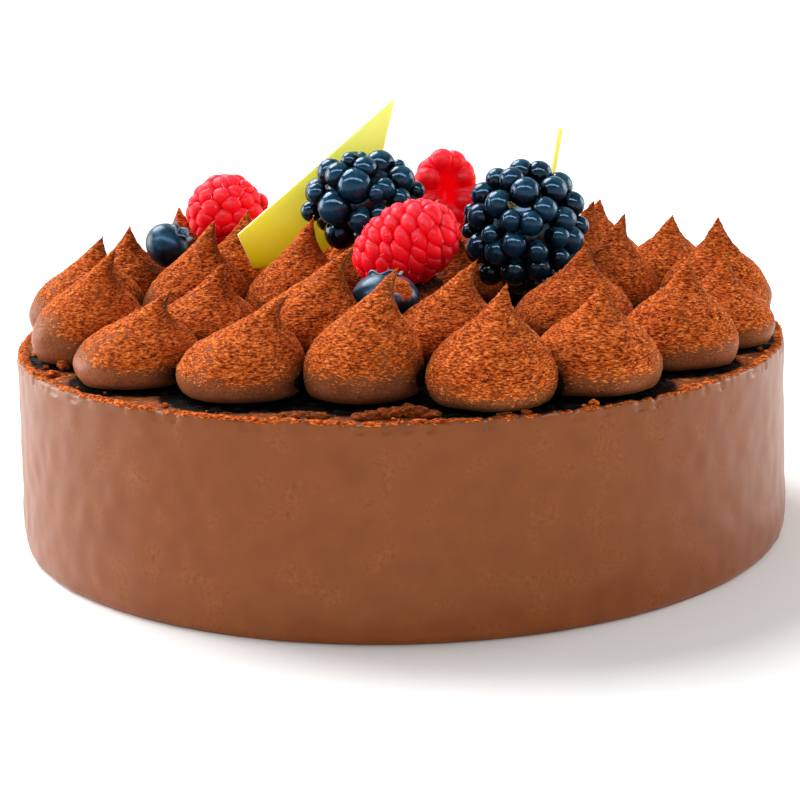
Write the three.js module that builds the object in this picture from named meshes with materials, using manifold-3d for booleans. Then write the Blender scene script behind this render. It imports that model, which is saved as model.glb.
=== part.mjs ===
// A round chocolate truffle cake: a low drum of set chocolate mousse, covered with piped drops under
// cocoa powder, with fresh berries and two thin blades of white chocolate set among the drops.
// Millimetres, +Z up. The origin is the middle of the underside, and the cake's front faces -Y.

import * as THREE from 'three';
import { mergeVertices } from 'three/addons/utils/BufferGeometryUtils.js';
import Module from 'manifold-3d';

const wasm = await Module();
wasm.setup();

// ---------------------------------------------------------------------------------------------
// Driving dimensions: millimetres, and degrees seen from above, anticlockwise from +X

const cake = {
  height: 45,          // up to the flat top that carries the drops
  topRadius: 90,
  baseRadius: 91.4,    // the side leans out a little towards the foot
  footRadius: 90.4,    // what rests on the table
  footHeight: 1.2,
  lipWidth: 2.4,       // raised, crumbly edge round the flat top
  lipHeight: 0.7,
  lipWaves: [[5, 0.16], [11, 0.12], [19, 0.08]],   // [waves round the cake, height]
  belly: [[0.33, 90.9], [0.7, 90.35], [0.973, 90]],   // the side: [share of the height, radius]
  swells: [[3, 0.0012], [8, 0.0007]],              // [waves round the cake, share of the radius]
  sides: 70,
};

// Every drop has this outline: [share of its height, share of its half width]
const dropOutline = [
  [0.00, 0.79], [0.08, 0.94], [0.24, 1.00], [0.39, 0.91], [0.52, 0.735],
  [0.65, 0.455], [0.79, 0.215], [0.92, 0.08], [1.00, 0.00],
];

const piping = {
  sides: 14,
  bend: 3.0,           // how late the middle line bends over towards the tip
  unevenness: 0.025,   // of the half width
  gap: 0.3,            // between neighbours pressed against each other
};

// The drops that show, ring by ring. at: [angle, distance of its foot from the cake's middle],
// size: [width, height], lean: how far the tip stands off the foot's middle, [right, back].
const outerDrops = [
  { at: [-96.5, 66.5], size: [24.6, 26.7], lean: [7.6, 0.0] },
  { at: [-76.0, 75.0], size: [27.0, 23.8], lean: [3.3, 1.0] },
  { at: [-57.8, 74.5], size: [27.2, 22.3], lean: [2.0, 0.0] },
  { at: [-35.5, 73.5], size: [25.6, 23.1], lean: [2.5, 0.0] },
  { at: [-16.5, 75.0], size: [27.2, 19.3], lean: [2.2, 0.0] },
  { at: [3.0, 76.0], size: [27.2, 24.7], lean: [0.5, 0.0] },
  { at: [24.0, 74.0], size: [27.0, 21.9], lean: [1.8, 0.0] },
  { at: [45.0, 73.0], size: [27.2, 23.1], lean: [1.8, 0.0] },
  { at: [140.0, 73.0], size: [27.0, 24.3], lean: [-1.0, 0.0] },
  { at: [158.0, 74.0], size: [27.0, 22.5], lean: [1.4, 0.0] },
  { at: [175.5, 75.5], size: [28.0, 23.8], lean: [4.8, 0.0] },
  { at: [-162.5, 74.0], size: [27.0, 24.8], lean: [7.2, 0.0] },
  { at: [-141.0, 73.0], size: [27.8, 19.5], lean: [8.4, 0.0] },
  { at: [-118.5, 69.0], size: [27.4, 21.2], lean: [11.0, 0.0] },
];

const middleDrops = [
  { at: [-78.0, 45.0], size: [26.4, 24.1], lean: [7.6, 0.0] },
  { at: [-32.5, 46.5], size: [28.4, 24.4], lean: [3.1, 0.0] },
  { at: [2.3, 50.0], size: [25.2, 26.5], lean: [4.0, 0.0] },
  { at: [28.6, 50.5], size: [26.0, 26.9], lean: [4.8, 0.0] },
  { at: [148.0, 48.3], size: [25.2, 26.1], lean: [4.0, 0.0] },
  { at: [178.0, 48.5], size: [27.0, 27.3], lean: [5.2, 0.0] },
  { at: [-147.0, 52.0], size: [28.2, 21.9], lean: [4.8, 0.0] },
  { at: [-117.7, 44.0], size: [28.8, 27.1], lean: [11.4, 0.0] },
];

const innerDrops = [
  { at: [-173.0, 24.2], size: [26.0, 28.5], lean: [4.5, -1.0] },
  { at: [-73.0, 18.0], size: [25.0, 23.5], lean: [2.0, 0.0] },
  { at: [55.0, 24.5], size: [24.0, 21.5], lean: [0.5, 0.0] },
  { at: [120.0, 26.5], size: [24.0, 21.5], lean: [0.5, 0.0] },
  { at: [135.0, 2.5], size: [22.0, 19.5], lean: [0.5, 0.0] },
];

// The drops at the back, which go on round in the same rings
const backDrops = {
  outerAngles: [64, 83, 102, 121], outerOut: 73.5,
  middleAngles: [58, 88, 118], middleOut: 48.5,
};

// half: half sizes [width, depth, length] of the berry, whose length is its own upright axis;
// tip: how it is turned, [about X, about Y], in degrees; rows of drupelets are spread over its skin.
const berries = {
  raspberry_left: { at: [-43.8, 38.0, 69.0], half: [10.2, 9.6, 10.0], tip: [-8, 12], drupelets: 62 },
  raspberry_front: { at: [1.8, -17.0, 68.2], half: [9.5, 9.8, 13.0], tip: [20, -118], drupelets: 74 },
  raspberry_back: { at: [11.9, 24.0, 74.3], half: [8.4, 10.7, 9.0], tip: [70, 8], drupelets: 54 },
  dark_berry_left: { at: [-8.2, 6.0, 75.8], half: [12.0, 12.0, 14.9], tip: [0, 80], drupelets: 46 },
  dark_berry_right: { at: [29.9, 0.0, 68.8], half: [15.0, 16.5, 14.0], tip: [70, -12], drupelets: 50 },
};

const berrySkins = {
  raspberry: { relief: 0.10, detail: 5 },   // depth of the gaps between drupelets, share of the radius
  dark: { relief: 0.17, detail: 6 },
  reach: 2.2,    // of one drupelet over the skin, times the berry's radius over the root of their number
  taper: 0.14,   // towards the tip
  gap: 0.5,      // round a berry, in the drops it is pressed into
};

// Left in a raspberry by its core: [radius, depth] from its bottom up to the open mouth
const hollow = { steps: [[0, 9.5], [2.3, 7.6], [3.9, 0], [4.7, -3], [0, -3]], sides: 16 };

const blueberries = {
  blueberry_left: { at: [-56.4, 19.0, 63.6], radius: 6.0, half: 5.2, tip: [24, 26] },
  blueberry_front: { at: [-3.1, -36.0, 59.0], radius: 7.6, half: 6.2, tip: [14, -4] },
};

const crown = { share: 0.42, rise: 0.9, sink: 1.2, wall: 0.2, lobes: 5, sides: 15 };   // share of the radius
const roomDetail = 3;   // of the plain egg that makes room for a berry in the drops
const blueberryRings = [-60, -35, -10, 15, 40];   // degrees up from its middle

// Thin blades of white chocolate. corners: [across, up] in the blade's own face
const blades = {
  white_chocolate_large: {
    corners: [[-39.8, 66.9], [-36.3, 58.4], [-20.0, 59.4], [-4.4, 81.0], [0.1, 98.4]],
    at: [0, 21, 0], turn: 11.3, thickness: 1.3,
  },
  white_chocolate_small: {
    corners: [[-9.0, 64.0], [11.0, 62.0], [12.5, 74.0], [1.5, 89.8]],
    at: [40.6, 22.5, 0], turn: 85, thickness: 1.2, leanRight: 10, pivot: 89.8,
  },
};

// ---------------------------------------------------------------------------------------------
// Materials

const paint = (name, color, roughness) =>
  new THREE.MeshStandardMaterial({ name, color, roughness, metalness: 0 });

const mousse = paint('set chocolate mousse', '#8a5a44', 0.55);
const cocoa = paint('cocoa powder', '#a34d1f', 0.95);
const raspberryRed = paint('raspberry skin', '#e0233a', 0.35);
const inkBlue = paint('dark berry skin', '#151d2b', 0.18);
const bloomBlue = paint('blueberry skin', '#2b3a52', 0.5);
const whiteChocolate = paint('white chocolate', '#efe07a', 0.4);

// ---------------------------------------------------------------------------------------------
// Helpers

function seededRandom(seed) {
  let state = seed;
  return () => {
    state = (state * 1664525 + 1013904223) % 4294967296;
    return state / 4294967296;
  };
}

const radians = THREE.MathUtils.degToRad;
const footOf = ({ at: [angle, out] }) =>
  new THREE.Vector2(out * Math.cos(radians(angle)), out * Math.sin(radians(angle)));

function weld(geometry) {
  geometry.deleteAttribute('normal');
  geometry.deleteAttribute('uv');
  return mergeVertices(geometry);
}

function toSolid(geometry) {
  const welded = weld(geometry.clone());
  return new wasm.Manifold(new wasm.Mesh({
    numProp: 3,
    vertProperties: new Float32Array(welded.attributes.position.array),
    triVerts: new Uint32Array(welded.index.array),
  }));
}

// The largest piece of a solid, as a geometry
function toGeometry(solid) {
  const pieces = solid.decompose().sort((a, b) => b.volume() - a.volume());
  const { vertProperties, triVerts } = pieces[0].getMesh();
  const geometry = new THREE.BufferGeometry();
  geometry.setAttribute('position', new THREE.BufferAttribute(new Float32Array(vertProperties), 3));
  geometry.setIndex(new THREE.BufferAttribute(new Uint32Array(triVerts), 1));
  return geometry;
}

function moveVertices(geometry, move) {
  const position = geometry.attributes.position;
  const vertex = new THREE.Vector3();
  for (let i = 0; i < position.count; i += 1) {
    vertex.fromBufferAttribute(position, i);
    move(vertex);
    position.setXYZ(i, vertex.x, vertex.y, vertex.z);
  }
  return geometry;
}

function upright(profile, sides) {
  const points = profile.map(([radius, height]) => new THREE.Vector2(radius, height));
  return weld(new THREE.LatheGeometry(points, sides).rotateX(Math.PI / 2));
}

function part(name, geometry, material) {
  const mesh = new THREE.Mesh(geometry, material);
  mesh.name = name;
  return mesh;
}

// ---------------------------------------------------------------------------------------------
// The drum

function cakeBody() {
  const { height, topRadius, baseRadius, footRadius, footHeight, lipWidth, lipHeight } = cake;
  const profile = [
    [0, 0], [footRadius, 0], [baseRadius, footHeight],
    ...cake.belly.map(([share, radius]) => [radius, share * height]),
    [topRadius - lipWidth * 0.17, height + lipHeight * 0.85], [topRadius - lipWidth / 2, height + lipHeight],
    [topRadius - lipWidth, height], [0, height],
  ];
  return moveVertices(upright(profile, cake.sides), (v) => {
    const around = Math.atan2(v.y, v.x);
    const waves = (list) => list.reduce((sum, [n, size]) => sum + size * Math.sin(n * (around + 1)), 0);
    if (v.z > height) v.z += waves(cake.lipWaves);
    if (v.z > 0 && v.z < height) {
      const swell = 1 + waves(cake.swells);
      v.x *= swell;
      v.y *= swell;
    }
  });
}

// ---------------------------------------------------------------------------------------------
// The piped drops

function ringOfBackDrops(angles, out, random) {
  return angles.map((angle) => ({
    at: [angle + 3 * (random() - 0.5), out],
    size: [26 + random(), 22 + 4 * random()],
    lean: [1 + 3 * random(), 2 * (random() - 0.5)],
  }));
}

function dropGeometry(drop, others, random) {
  const [width, tall] = drop.size;
  const half = width / 2;
  const profile = [[0, 0], ...dropOutline.map(([up, across]) => [across * half, up * tall])];
  const geometry = upright(profile, piping.sides);
  const turns = [2, 3, 5].map((waves) => [waves, 2 * Math.PI * random()]);
  const foot = footOf(drop);
  return moveVertices(geometry, (v) => {
    const around = Math.atan2(v.y, v.x);
    const uneven = turns.reduce((sum, [waves, turn]) => sum + Math.sin(waves * around + turn), 0);
    const share = Math.max(0, v.z / tall);
    const swell = 1 + piping.unevenness * uneven * (1 - share);
    const over = share ** piping.bend;
    v.x = v.x * swell + drop.lean[0] * over;
    v.y = v.y * swell + drop.lean[1] * over;
    for (const other of others) {
      const away = footOf(other).sub(foot);
      const room = (away.length() * half) / (half + other.size[0] / 2) - piping.gap / 2;
      away.normalize();
      const past = v.x * away.x + v.y * away.y - room;
      if (past > 0) {
        v.x -= past * away.x;
        v.y -= past * away.y;
      }
    }
  });
}

// Cuts a drop where a berry or a blade is pressed into it
function pressedInto(geometry, position, cutters) {
  let solid = null;
  for (const cutter of cutters) {
    const local = cutter.clone().translate(-position.x, -position.y, -position.z);
    local.computeBoundingBox();
    geometry.computeBoundingBox();
    if (!geometry.boundingBox.intersectsBox(local.boundingBox)) continue;
    solid = (solid ?? toSolid(geometry)).subtract(toSolid(local));
  }
  return solid ? toGeometry(solid) : geometry;
}

// ---------------------------------------------------------------------------------------------
// The fruit

// Directions spread evenly over a ball, a golden turn apart
function spreadDirections(count) {
  const goldenTurn = Math.PI * (3 - Math.sqrt(5));
  return Array.from({ length: count }, (_, i) => {
    const up = 1 - (2 * i + 1) / count;
    const out = Math.sqrt(1 - up * up);
    return new THREE.Vector3(out * Math.cos(goldenTurn * i), out * Math.sin(goldenTurn * i), up);
  });
}

function berryGeometry({ half, drupelets }, { relief, detail }) {
  const centres = spreadDirections(drupelets);
  const reach = berrySkins.reach / Math.sqrt(drupelets);
  const geometry = weld(new THREE.IcosahedronGeometry(1, detail));
  return moveVertices(geometry, (v) => {
    const nearest = Math.min(...centres.map((centre) => centre.angleTo(v)));
    const dome = Math.sqrt(Math.max(0, 1 - (nearest / reach) ** 2));
    const narrow = 1 - berrySkins.taper * Math.max(0, v.z);
    v.multiplyScalar(1 - relief * (1 - dome));
    v.set(v.x * half[0] * narrow, v.y * half[1] * narrow, v.z * half[2]);
  });
}

function turned([aboutX, aboutY]) {
  return new THREE.Euler(radians(aboutX), radians(aboutY), 0);
}

function berryMesh(name, berry) {
  const red = name.startsWith('raspberry');
  let geometry = berryGeometry(berry, red ? berrySkins.raspberry : berrySkins.dark);
  if (name === 'raspberry_back') {
    const profile = hollow.steps.map(([radius, depth]) => [radius, berry.half[2] - depth]);
    geometry = toGeometry(toSolid(geometry).subtract(toSolid(upright(profile, hollow.sides))));
  }
  const mesh = part(name, geometry, red ? raspberryRed : inkBlue);
  mesh.position.set(...berry.at);
  mesh.rotation.copy(turned(berry.tip));
  return mesh;
}

function blueberryMesh(name, { at, radius, half, tip }) {
  const ring = crown.share * radius;
  const rim = half * Math.sqrt(1 - crown.share ** 2);
  const profile = [[0, -half]];
  for (const turn of blueberryRings) {
    profile.push([radius * Math.cos(radians(turn)), half * Math.sin(radians(turn))]);
  }
  const { wall, rise, sink } = crown;
  profile.push([ring * (1 + wall), rim], [ring, rim + rise], [ring * (1 - wall), rim], [0, rim - sink]);
  const geometry = moveVertices(upright(profile, crown.sides), (v) => {
    const lobe = Math.cos(crown.lobes * Math.atan2(v.y, v.x));
    if (v.z > rim + rise / 2) v.z -= (rise / 2) * (1 - lobe);
  });
  const mesh = part(name, geometry, bloomBlue);
  mesh.position.set(...at);
  mesh.rotation.copy(turned(tip));
  return mesh;
}

// A plain egg round a berry, with room for it to sit in
function berryRoom(mesh, half) {
  const room = new THREE.IcosahedronGeometry(1, roomDetail);
  room.scale(...half.map((size) => size + berrySkins.gap));
  mesh.updateMatrix();
  return room.applyMatrix4(mesh.matrix);
}

// ---------------------------------------------------------------------------------------------
// The blades of white chocolate

function bladeGeometry({ corners, thickness }, grow) {
  const middle = corners.reduce((sum, [x, y]) => sum.add(new THREE.Vector2(x, y)), new THREE.Vector2());
  middle.divideScalar(corners.length);
  const outline = corners.map(([x, y]) => {
    const corner = new THREE.Vector2(x, y);
    return corner.add(corner.clone().sub(middle).setLength(grow));
  });
  const depth = thickness + 2 * grow;
  const geometry = new THREE.ExtrudeGeometry(new THREE.Shape(outline), { depth, bevelEnabled: false });
  return weld(geometry.translate(0, 0, -depth / 2).rotateX(Math.PI / 2));
}

function bladeMatrix({ at, turn, leanRight = 0, pivot = 0 }) {
  const stand = new THREE.Matrix4().makeRotationZ(radians(turn));
  const lean = new THREE.Matrix4().makeRotationY(radians(leanRight));
  const drop = new THREE.Matrix4().makeTranslation(0, 0, -pivot);
  const lift = new THREE.Matrix4().makeTranslation(at[0], at[1], at[2] + pivot);
  return lift.multiply(lean).multiply(stand).multiply(drop);
}

function bladeMesh(name, blade) {
  const mesh = part(name, bladeGeometry(blade, 0), whiteChocolate);
  mesh.applyMatrix4(bladeMatrix(blade));
  return mesh;
}

// ---------------------------------------------------------------------------------------------
// The whole cake

const whole = new THREE.Group();
whole.add(part('cake_body', cakeBody(), mousse));

const fruit = new THREE.Group();
const cutters = [];
for (const [name, berry] of Object.entries(berries)) {
  const mesh = berryMesh(name, berry);
  fruit.add(mesh);
  cutters.push(berryRoom(mesh, berry.half));
}
for (const [name, berry] of Object.entries(blueberries)) {
  const mesh = blueberryMesh(name, berry);
  fruit.add(mesh);
  cutters.push(berryRoom(mesh, [berry.radius, berry.radius, berry.half]));
}

const chocolate = new THREE.Group();
for (const [name, blade] of Object.entries(blades)) {
  chocolate.add(bladeMesh(name, blade));
  cutters.push(bladeGeometry(blade, piping.gap).applyMatrix4(bladeMatrix(blade)));
}

const random = seededRandom(11);
const { outerAngles, outerOut, middleAngles, middleOut } = backDrops;
const rings = {
  outer: [...outerDrops, ...ringOfBackDrops(outerAngles, outerOut, random)],
  middle: [...middleDrops, ...ringOfBackDrops(middleAngles, middleOut, random)],
  inner: innerDrops,
};
const everyDrop = Object.values(rings).flat();

const drops = new THREE.Group();
drops.position.z = cake.height;
for (const [ring, members] of Object.entries(rings)) {
  members.forEach((drop, i) => {
    const foot = footOf(drop);
    const nearby = everyDrop.filter((other) => other !== drop
      && footOf(other).distanceTo(foot) < (other.size[0] + drop.size[0]) / 2 + 1);
    const position = new THREE.Vector3(foot.x, foot.y, cake.height);
    const geometry = pressedInto(dropGeometry(drop, nearby, random), position, cutters);
    const mesh = part(`drop_${ring}_${String(i + 1).padStart(2, '0')}`, geometry, cocoa);
    mesh.position.set(foot.x, foot.y, 0);
    drops.add(mesh);
  });
}

whole.add(drops, fruit, chocolate);

export default whole;
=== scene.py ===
import math
import random
import bmesh
import bpy
from mathutils import Euler, Matrix, Vector, noise
from mathutils.geometry import interpolate_bezier


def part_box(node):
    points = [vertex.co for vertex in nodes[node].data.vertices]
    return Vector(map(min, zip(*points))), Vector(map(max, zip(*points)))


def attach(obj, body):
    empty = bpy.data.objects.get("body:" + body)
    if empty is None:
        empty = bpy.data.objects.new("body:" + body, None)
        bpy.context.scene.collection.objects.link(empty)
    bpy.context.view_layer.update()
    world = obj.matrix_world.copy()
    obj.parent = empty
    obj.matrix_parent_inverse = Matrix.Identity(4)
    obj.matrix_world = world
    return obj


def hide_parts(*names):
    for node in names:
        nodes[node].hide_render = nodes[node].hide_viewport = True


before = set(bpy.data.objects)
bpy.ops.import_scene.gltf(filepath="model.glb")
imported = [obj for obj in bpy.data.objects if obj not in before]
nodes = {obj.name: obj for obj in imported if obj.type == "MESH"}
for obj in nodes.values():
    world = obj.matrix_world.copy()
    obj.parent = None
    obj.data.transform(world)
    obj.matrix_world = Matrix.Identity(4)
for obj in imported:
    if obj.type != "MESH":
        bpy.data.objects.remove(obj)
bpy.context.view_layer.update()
mm = 0.001
draw = random.Random(7)
print("frame loaded:", len(nodes), "nodes")


def linear(hexColour):
    # an sRGB hex colour as the linear RGBA that the shaders read
    parts = [int(hexColour[i:i + 2], 16) / 255 for i in (1, 3, 5)]
    return [c / 12.92 if c <= 0.04045 else ((c + 0.055) / 1.055) ** 2.4 for c in parts] + [1.0]


def addNode(tree, kind, inputs=None, output=0, stops=(), **settings):
    # adds a node with its settings, links and colour stops, and returns one of its outputs
    node = tree.nodes.new("ShaderNode" + kind)
    for key, value in settings.items():
        setattr(node, key, value)
    for key, value in (inputs or {}).items():
        if isinstance(value, bpy.types.NodeSocket):
            tree.links.new(value, node.inputs[key])
        else:
            node.inputs[key].default_value = value
    for i, (position, colour) in enumerate(stops):
        element = node.color_ramp.elements[i] if i < 2 else node.color_ramp.elements.new(position)
        element.position = position
        element.color = linear(colour)
    return node.outputs[output]


ofColours = {"output": 2, "data_type": "RGBA"}   # a Mix node of colours, whose inputs are 6 and 7


def newMaterial(name, **values):
    made = bpy.data.materials.new(name)
    made.use_nodes = True
    shader = made.node_tree.nodes["Principled BSDF"]
    for key, value in values.items():
        shader.inputs[key].default_value = value
    return made, made.node_tree, shader


def smooth(value, low, high):
    share = min(1.0, max(0.0, (value - low) / (high - low)))
    return share * share * (3 - 2 * share)


def throughPoints(points, stepsEach):
    # a smooth line through the points, with the given number of steps between each two
    points = [Vector(p).to_3d() for p in points]
    spans = [b - a for a, b in zip(points, points[1:])]
    slopes = [spans[0].normalized()]
    for before, after in zip(spans, spans[1:]):
        slopes.append((before.normalized() * after.length + after.normalized() * before.length).normalized())
    slopes.append(spans[-1].normalized())
    made = []
    for i, steps in enumerate(stepsEach):
        reach = spans[i].length / 3
        made += interpolate_bezier(points[i], points[i] + slopes[i] * reach,
                                   points[i + 1] - slopes[i + 1] * reach, points[i + 1], steps + 1)[:-1]
    return made + [points[-1]]


def spun(outline, sides):
    # a closed body of revolution about Z from (radius, height) pairs that start and end on the axis
    bm = bmesh.new()
    verts = [bm.verts.new((radius, 0, height)) for radius, height in outline]
    edges = [bm.edges.new(pair) for pair in zip(verts, verts[1:])]
    bmesh.ops.spin(bm, geom=verts + edges, cent=(0, 0, 0), axis=(0, 0, 1),
                   angle=2 * math.pi, steps=sides, use_merge=True)
    bmesh.ops.remove_doubles(bm, verts=bm.verts, dist=1e-6)
    bmesh.ops.recalc_face_normals(bm, faces=bm.faces)
    return bm


def finishPiece(bm, name, materials, replaced=()):
    for face in bm.faces:
        face.smooth = True
    mesh = bpy.data.meshes.new(name)
    bm.to_mesh(mesh)
    bm.free()
    for material in materials:
        mesh.materials.append(material)
    piece = bpy.data.objects.new(name, mesh)
    bpy.context.scene.collection.objects.link(piece)
    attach(piece, "root")
    if replaced:
        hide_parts(*replaced)
    return piece


photo = {
    "width": 800, "focal": 1860,   # in pixels
    "place": (0.0, -0.436, 0.1355), "down": 13.88, "turn": 0.06, "roll": -1.43,
}


def setUpCamera():
    data = bpy.data.cameras.new("camera")
    data.sensor_width = 36
    data.lens = photo["focal"] * data.sensor_width / photo["width"]
    data.clip_start = 0.01
    camera = bpy.data.objects.new("camera", data)
    camera.matrix_world = (Matrix.Translation(photo["place"])
                           @ Matrix.Rotation(math.radians(photo["turn"]), 4, "Z")
                           @ Matrix.Rotation(math.radians(90 - photo["down"]), 4, "X")
                           @ Matrix.Rotation(math.radians(photo["roll"]), 4, "Z"))
    bpy.context.scene.collection.objects.link(camera)
    bpy.context.scene.camera = camera
    return camera.matrix_world.copy()


def lineOfSight(x, y):
    # the direction from the camera through a pixel of the picture
    half = photo["width"] / 2
    return (cameraPlace.to_3x3() @ Vector((x - half, half - y, -photo["focal"]))).normalized()


studio = {
    # the light all round: at the horizon, overhead, and its colour
    "horizon": 1.45, "sky": 0.42, "skyColour": "#f9faf9",
    # a wide soft lamp overhead: watts per square metre, width in degrees, turned from straight down
    "overhead": {"strength": 3.4, "width": 36, "turn": (-32, -30)},
    "panels": {
        # place, size in metres, watts, colour
        "strip": ((-0.06, -0.26, 0.44), (1.30, 0.09), 6.0, "#eef4ff"),
        "left": ((-0.80, 0.25, 0.26), (0.50, 0.45), 5.2, "#ffffff"),
        "right": ((0.80, 0.28, 0.28), (0.50, 0.45), 3.4, "#ffffff"),
    },
    "aim": (0.0, 0.0, 0.05), "onlyGlints": ("strip",),
    "floor": 30.0, "floorColour": "#ffffff",
}


def setUpStudio():
    scene = bpy.context.scene
    scene.view_settings.view_transform = "Standard"
    world = bpy.data.worlds.new("studio")
    world.use_nodes = True
    scene.world = world
    backdrop = world.node_tree.nodes["Background"]
    backdrop.inputs["Color"].default_value = linear(studio["skyColour"])
    around = addNode(world.node_tree, "TexCoord", output="Generated")
    height = addNode(world.node_tree, "SeparateXYZ", {"Vector": around}, output="Z")
    glow = addNode(world.node_tree, "MapRange", {"Value": height, "From Min": 0.12, "From Max": 0.55,
                                                 "To Min": studio["horizon"], "To Max": studio["sky"]})
    world.node_tree.links.new(glow, backdrop.inputs["Strength"])
    sun = bpy.data.lights.new("overhead", "SUN")
    sun.energy = studio["overhead"]["strength"]
    sun.angle = math.radians(studio["overhead"]["width"])
    lamp = bpy.data.objects.new("overhead", sun)
    lamp.rotation_euler = [math.radians(a) for a in studio["overhead"]["turn"]] + [0]
    scene.collection.objects.link(lamp)
    for name, (place, size, power, colour) in studio["panels"].items():
        data = bpy.data.lights.new(name, "AREA")
        data.shape = "RECTANGLE"
        data.size, data.size_y = size
        data.energy = power
        data.color = linear(colour)[:3]
        light = bpy.data.objects.new(name, data)
        light.location = place
        light.visible_camera = False
        light.visible_diffuse = name not in studio["onlyGlints"]
        light.rotation_euler = (Vector(place) - Vector(studio["aim"])).to_track_quat("Z", "Y").to_euler()
        scene.collection.objects.link(light)
    bm = bmesh.new()
    bmesh.ops.create_grid(bm, x_segments=1, y_segments=1, size=studio["floor"] / 2)
    mesh = bpy.data.meshes.new("floor")
    bm.to_mesh(mesh)
    bm.free()
    floor = bpy.data.objects.new("floor", mesh)
    scene.collection.objects.link(floor)
    # matt white studio paper
    paper, _, _ = newMaterial("white studio paper", **{"Base Color": linear(studio["floorColour"]),
                                                       "Roughness": 0.8, "Specular IOR Level": 0.1})
    mesh.materials.append(paper)


cameraPlace = setUpCamera()
setUpStudio()
print("camera, light and floor made")


mousseLook = {
    # the near-black colour below is painted shade, laid under and between the drops and under the berries
    "pore": "#54290f", "speck": "#9a6232", "paintedShadeColour": "#060405", "roughness": 0.36, "cloudSize": 7 * mm,
    "poreRange": (0.48, 0.34), "speckRange": (0.54, 0.70),
    # cocoa powder from its cracks to its crests
    "cocoa": ((0.37, "#40140a"), (0.43, "#803013"), (0.49, "#b64c19"), (0.57, "#d26426"), (0.68, "#f49854")),
    # it clots into flat grains and clumps, drawn coarser than real ones, which wouldn't show
    "cocoaRoughness": 0.92, "grain": 0.95 * mm, "clump": 2.6 * mm, "flatten": 3.2, "relief": 0.56 * mm,
    "shares": {"grain": 0.84, "clump": 0.16, "crust": 0.06},
    "ragged": (2.6, -1.26),   # how single grains break up the edge of the powder
    # bare: the two browns where no cocoa lies; gloss: how much of the satin shows; dark, bright: how strong
    # the pores are, and the specks between them; patches: what share is free of both; sheen: a rim of light
    "dusty": {"bare": ("#6a3823", "#925439"), "gloss": 0.10, "poreSize": 0.5 * mm, "dark": 0.65,
              "bright": 0.7, "patches": 0.0, "sheen": 0.30, "sheenColour": "#ff9648"},
    # the next finish is painted shade: near-black bare mousse without sheen, for faces deep in painted shade
    "paintedShadeMousse": {"bare": ("#2a1710", "#3a2016"), "gloss": 0.06, "poreSize": 0.5 * mm, "dark": 0.65,
             "bright": 0.3, "patches": 0.0, "sheen": 0.0, "sheenColour": "#ffffff"},
    "satin": {"bare": ("#773a13", "#87461a"), "gloss": 0.38, "poreSize": 0.8 * mm, "dark": 0.50,
              "bright": 0.28, "patches": 0.51, "sheen": 0.04, "sheenColour": "#ffe2cc"},
}


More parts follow.
